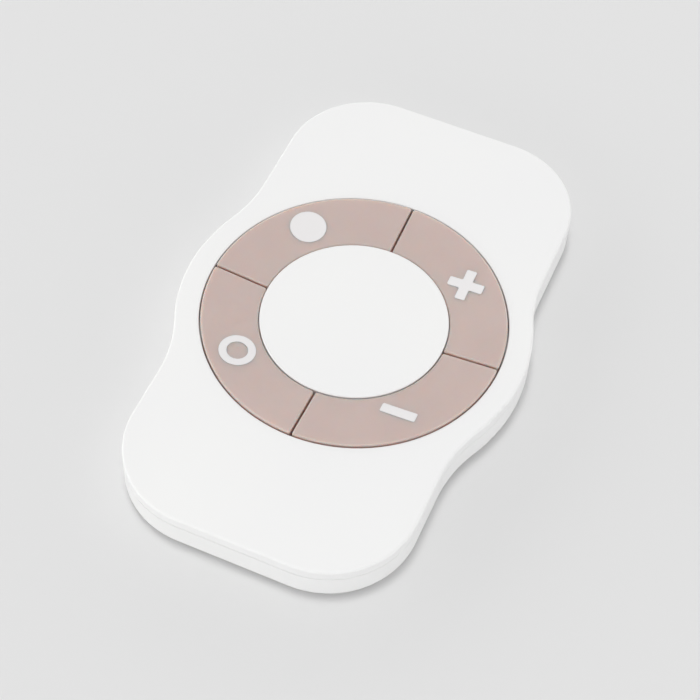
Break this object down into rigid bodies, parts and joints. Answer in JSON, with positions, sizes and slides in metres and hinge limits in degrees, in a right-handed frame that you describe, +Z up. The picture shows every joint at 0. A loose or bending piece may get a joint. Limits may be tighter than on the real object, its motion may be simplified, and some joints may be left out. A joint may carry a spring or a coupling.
{
  "type": "smart remote control",
  "caption": "Slim tabletop remote: flat case with a round bulge at mid length, a dished ring of quarter keys round a centre island, and a coin cell door below.",
  "frame": {"origin": "under the centre of the key ring, on the plane of the rubber feet's faces", "axes": "+Y along the case to its far end, +Z up out of the keys, +X to the right seen from above"},
  "size_m": [0.0628, 0.0992, 0.0081],
  "materials": {
    "white_shell": "satin moulded",
    "rose_key": "satin moulded",
    "brown_silicone": "matt moulded",
    "grey_silicone": "matt moulded",
    "foot_silicone": "matt moulded",
    "board_laminate": "solder mask",
    "black_package": "moulded",
    "switch_plastic": "moulded",
    "stem_plastic": "moulded",
    "steel_lid": "plated",
    "tinned_steel": "tin plated",
    "sprung_steel": "nickel plated",
    "cell_steel": "nickel plated",
    "screw_steel": "zinc plated",
    "white_ceramic": "fired",
    "tan_ceramic": "fired",
    "yellow_package": "moulded"
  },
  "bodies": {
    "case": {"top_cover": "white_shell", "rear_cover": "white_shell", "key_mat": "brown_silicone", "rubber_feet": "foot_silicone", "circuit_board": "board_laminate", "radio_chip": "black_package", "crystal": "steel_lid", "radio_shield": "tinned_steel", "antenna": "white_ceramic", "capacitors": "tan_ceramic", "buffer_capacitor": "yellow_package", "coin_cell": "cell_steel", "contact_negative": "sprung_steel", "contact_positive": "sprung_steel", "case_screws": "screw_steel", "board_screws": "screw_steel", "switch_body_on": "switch_plastic", "switch_dome_on": "sprung_steel", "switch_body_bright": "switch_plastic", "switch_dome_bright": "sprung_steel", "switch_body_off": "switch_plastic", "switch_dome_off": "sprung_steel", "switch_body_dim": "switch_plastic", "switch_dome_dim": "sprung_steel"},
    "on_press": {"key_on": "rose_key", "switch_stem_on": "stem_plastic"},
    "bright_press": {"key_bright": "rose_key", "switch_stem_bright": "stem_plastic"},
    "off_press": {"key_off": "rose_key", "switch_stem_off": "stem_plastic"},
    "dim_press": {"key_dim": "rose_key", "switch_stem_dim": "stem_plastic"},
    "door": {"battery_door": "white_shell", "door_seal": "grey_silicone"}
  },
  "joints": [
    {"name": "on_key_travel", "type": "slide", "parent": "case", "child": "on_press", "axis": [0, 0, -1], "range_m": [0, 0.00025], "stiffness_N_per_m": 400, "springref_m": -0.0005},
    {"name": "bright_key_travel", "type": "slide", "parent": "case", "child": "bright_press", "axis": [0, 0, -1], "range_m": [0, 0.00025], "stiffness_N_per_m": 400, "springref_m": -0.0005},
    {"name": "off_key_travel", "type": "slide", "parent": "case", "child": "off_press", "axis": [0, 0, -1], "range_m": [0, 0.00025], "stiffness_N_per_m": 400, "springref_m": -0.0005},
    {"name": "dim_key_travel", "type": "slide", "parent": "case", "child": "dim_press", "axis": [0, 0, -1], "range_m": [0, 0.00025], "stiffness_N_per_m": 400, "springref_m": -0.0005},
    {"name": "door_turn", "type": "hinge", "parent": "case", "child": "door", "pos_m": [0, 0, 0], "axis": [0, 0, -1], "range_deg": [0, 30]}
  ]
}
